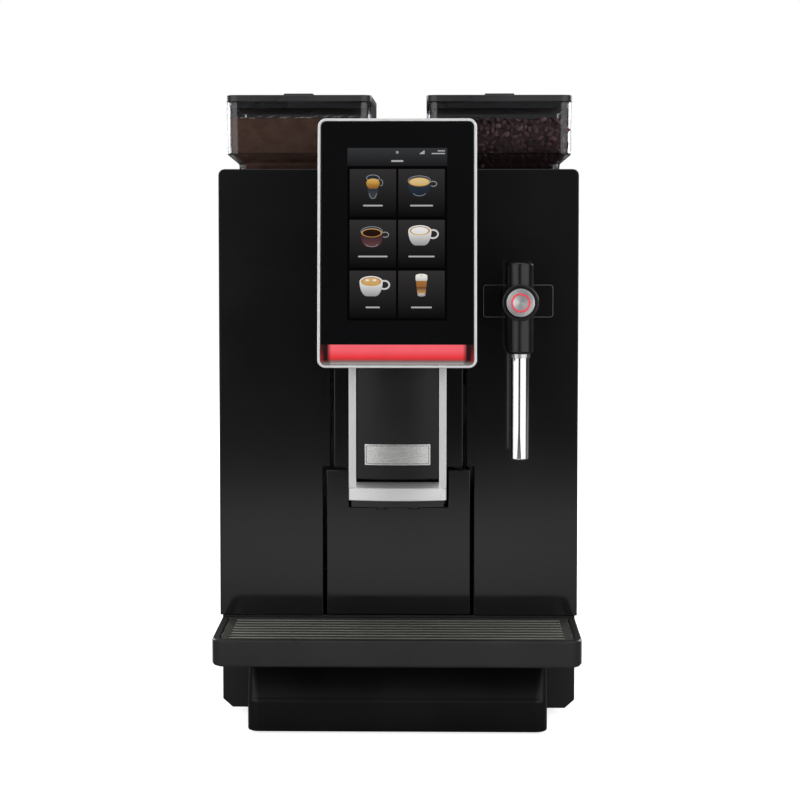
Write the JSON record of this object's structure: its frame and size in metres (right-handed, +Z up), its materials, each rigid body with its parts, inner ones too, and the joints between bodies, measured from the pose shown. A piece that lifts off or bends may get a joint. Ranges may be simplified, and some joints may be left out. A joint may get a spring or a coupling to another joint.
{
  "type": "hot coffee vending machine",
  "caption": "Countertop automatic hot coffee machine: bean and powder hoppers, leaning touch screen, sliding spout, tilting steam wand, pull-out drip tray and grounds drawer.",
  "frame": {"origin": "middle of the overall box, on the surface it stands on", "axes": "+Z up, -Y towards the user, +X to the user's right"},
  "size_m": [0.334, 0.45, 0.582],
  "materials": {
    "gloss_black": "polished piano-black moulding",
    "satin_black": "fine satin grain",
    "black_paint": "powder coat, fine texture",
    "zinc_plate": "bright zinc plate",
    "brushed_steel": "brushed",
    "chrome": "polished",
    "clear_plastic": "clear smoked",
    "lid_grey": "satin",
    "dark_glass": "polished",
    "display": "lit panel",
    "red_light": "lit diffuser",
    "rubber": "matt",
    "coffee_powder": "loose powder",
    "coffee_beans": "roasted beans",
    "white_plastic": "moulded",
    "brass": "satin",
    "board_green": "lacquered board"
  },
  "bodies": {
    "machine": {"base_frame": "black_paint", "left_side_panel": "black_paint", "right_side_panel": "black_paint", "rear_cover": "black_paint", "top_cover": "black_paint", "front_fascia": "gloss_black", "spout_column": "gloss_black", "chassis_plate": "zinc_plate", "foot_front_left": "rubber", "foot_front_right": "rubber", "foot_rear_left": "rubber", "foot_rear_right": "rubber", "wand_bracket": "satin_black", "wand_pin": "brushed_steel", "screen_mount": "satin_black", "screen_housing": "satin_black", "screen_rim": "brushed_steel", "touch_glass": "dark_glass", "display_panel": "display", "light_bar": "red_light", "power_inlet": "satin_black", "fan_frame": "satin_black", "grinder_housing": "zinc_plate", "grinder_motor": "zinc_plate", "coffee_boiler": "brushed_steel", "steam_boiler": "brushed_steel", "water_pump": "brass", "brew_chamber": "white_plastic", "control_board": "board_green", "mixing_bowl": "white_plastic"},
    "spout": {"spout_body": "satin_black", "spout_frame": "brushed_steel", "spout_cover": "satin_black", "spout_badge": "brushed_steel", "nozzle_block": "satin_black"},
    "wand": {"wand_handle": "satin_black", "wand_collar": "brushed_steel", "wand_tube": "chrome"},
    "wand_button": {"button_cap": "brushed_steel", "button_ring": "red_light"},
    "powder_hopper": {"powder_hopper": "clear_plastic", "powder_fill": "coffee_powder"},
    "powder_lid": {"powder_lid": "lid_grey"},
    "powder_auger": {"powder_auger": "brushed_steel"},
    "bean_hopper": {"bean_hopper": "clear_plastic", "bean_fill": "coffee_beans"},
    "bean_lid": {"bean_lid": "lid_grey"},
    "bean_gate": {"bean_gate": "satin_black"},
    "water_tank": {"water_tank": "clear_plastic"},
    "water_tank_lid": {"water_tank_lid": "satin_black"},
    "drip_tray": {"drip_tray": "satin_black", "drip_tank": "satin_black", "drip_tank_pan": "satin_black"},
    "drip_grille": {"drip_grille": "brushed_steel"},
    "grounds_drawer": {"grounds_front": "gloss_black", "grounds_bin": "satin_black"},
    "fan_rotor": {"fan_rotor": "satin_black"},
    "grinder_burr": {"burr_cone": "brushed_steel"},
    "brew_piston": {"brew_piston": "brushed_steel"},
    "power_switch": {"power_switch": "satin_black"}
  },
  "joints": [
    {"name": "spout_slide", "type": "slide", "parent": "machine", "child": "spout", "axis": [0, 0, 1], "range_m": [0, 0.06]},
    {"name": "wand_tilt", "type": "hinge", "parent": "machine", "child": "wand", "pos_m": [0.111, -0.137, 0.39], "axis": [-1, 0, 0], "range_deg": [0, 25]},
    {"name": "button_press", "type": "slide", "parent": "wand", "child": "wand_button", "axis": [0, 1, 0], "range_m": [0, 0.0015], "stiffness_N_per_m": 400},
    {"name": "powder_hopper_lift", "type": "slide", "parent": "machine", "child": "powder_hopper", "axis": [0, 0, 1], "range_m": [0, 0.06]},
    {"name": "powder_lid_lift", "type": "slide", "parent": "powder_hopper", "child": "powder_lid", "axis": [0, 0, 1], "range_m": [0, 0.08]},
    {"name": "powder_auger_spin", "type": "hinge", "parent": "powder_hopper", "child": "powder_auger", "pos_m": [-0.0944, 0.001, 0.4895], "axis": [0, 1, 0], "continuous": true},
    {"name": "bean_hopper_lift", "type": "slide", "parent": "machine", "child": "bean_hopper", "axis": [0, 0, 1], "range_m": [0, 0.06]},
    {"name": "bean_lid_lift", "type": "slide", "parent": "bean_hopper", "child": "bean_lid", "axis": [0, 0, 1], "range_m": [0, 0.08]},
    {"name": "bean_gate_slide", "type": "slide", "parent": "bean_hopper", "child": "bean_gate", "axis": [-1, 0, 0], "range_m": [0, 0.033]},
    {"name": "water_tank_lift", "type": "slide", "parent": "machine", "child": "water_tank", "axis": [0, 0, 1], "range_m": [0, 0.4]},
    {"name": "water_tank_lid_lift", "type": "slide", "parent": "water_tank", "child": "water_tank_lid", "axis": [0, 0, 1], "range_m": [0, 0.06]},
    {"name": "drip_tray_slide", "type": "slide", "parent": "machine", "child": "drip_tray", "axis": [0, -1, 0], "range_m": [0, 0.155]},
    {"name": "drip_grille_lift", "type": "slide", "parent": "drip_tray", "child": "drip_grille", "axis": [0, 0, 1], "range_m": [0, 0.05]},
    {"name": "grounds_drawer_slide", "type": "slide", "parent": "machine", "child": "grounds_drawer", "axis": [0, -1, 0], "range_m": [0, 0.155]},
    {"name": "fan_spin", "type": "hinge", "parent": "machine", "child": "fan_rotor", "pos_m": [0.1, 0.213, 0.42], "axis": [0, 1, 0], "continuous": true},
    {"name": "burr_spin", "type": "hinge", "parent": "machine", "child": "grinder_burr", "pos_m": [0.0944, 0.001, 0.43], "axis": [0, 0, 1], "continuous": true},
    {"name": "brew_piston_slide", "type": "slide", "parent": "machine", "child": "brew_piston", "axis": [0, 0, -1], "range_m": [0, 0.05]},
    {"name": "power_switch_rock", "type": "hinge", "parent": "machine", "child": "power_switch", "pos_m": [0.08, 0.217, 0.124], "axis": [-1, 0, 0], "range_deg": [0, 16]}
  ]
}
